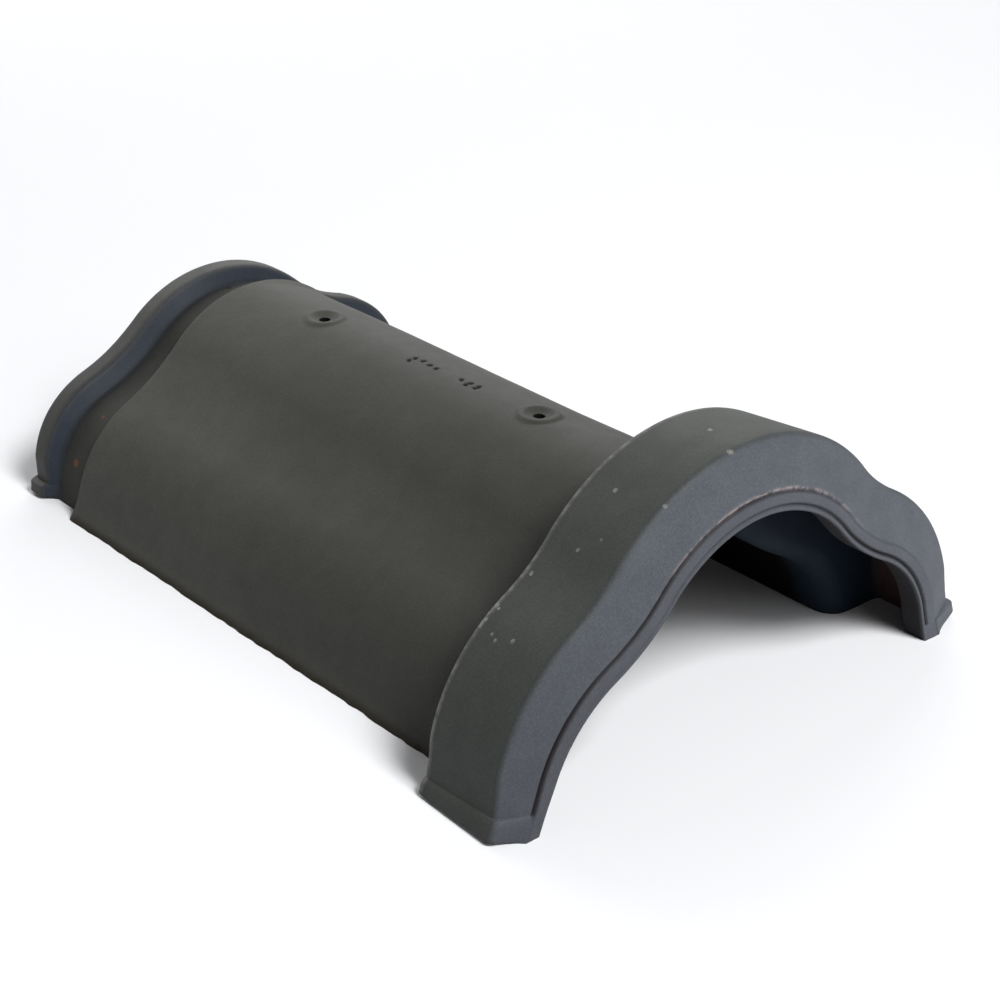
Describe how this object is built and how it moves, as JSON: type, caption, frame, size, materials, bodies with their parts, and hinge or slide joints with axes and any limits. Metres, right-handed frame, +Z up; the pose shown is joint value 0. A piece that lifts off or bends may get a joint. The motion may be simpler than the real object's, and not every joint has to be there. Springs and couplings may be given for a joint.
{
  "type": "ridge tile",
  "caption": "Fired clay roof ridge tile: an S-profiled vault with a hollow overlapping collar at one end and a grooved, rimmed spigot at the other.",
  "frame": {"origin": "middle of the bounding box's bottom, on the ground between the feet", "axes": "+Y along the ridge from the collar towards the spigot, +Z up, X across the ridge"},
  "size_m": [0.2602, 0.3676, 0.1204],
  "materials": {
    "engobed_clay": "matte"
  },
  "bodies": {
    "root": {"ridge_tile": "engobed_clay"}
  },
  "joints": []
}
